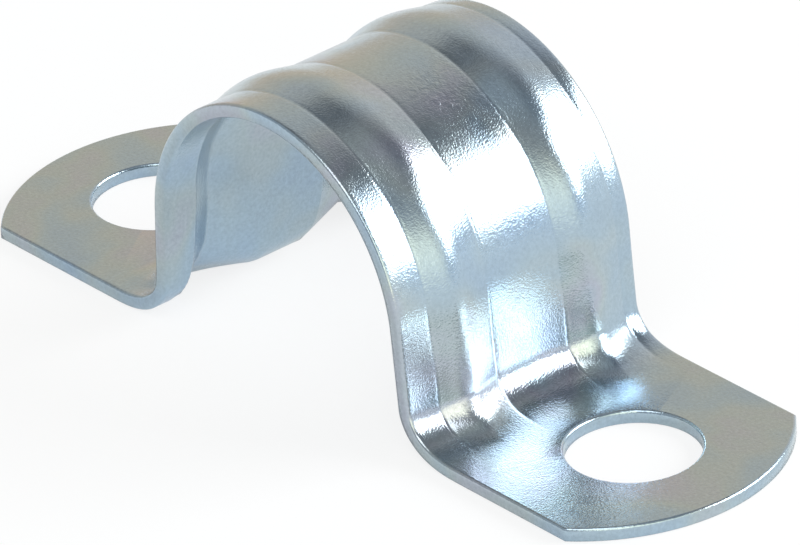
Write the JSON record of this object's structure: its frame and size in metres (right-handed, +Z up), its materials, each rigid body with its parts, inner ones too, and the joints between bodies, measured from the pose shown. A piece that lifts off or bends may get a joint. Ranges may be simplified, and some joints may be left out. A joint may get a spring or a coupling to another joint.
{
  "type": "conduit strap",
  "caption": "Two-hole conduit strap pressed from sheet steel: a ribbed half-round saddle between two flat feet with rounded ends, each with a round fixing hole.",
  "frame": {"origin": "midway between the two fixing holes, on the plane of the feet's undersides", "axes": "+Z up from the fixing surface to the crown, X from foot to foot, Y along the conduit"},
  "size_m": [0.0524, 0.016, 0.0166],
  "materials": {
    "zinc_plate": "bright zinc plate with a blue-white passivated sheen"
  },
  "bodies": {
    "root": {"strap": "zinc_plate"}
  },
  "joints": []
}
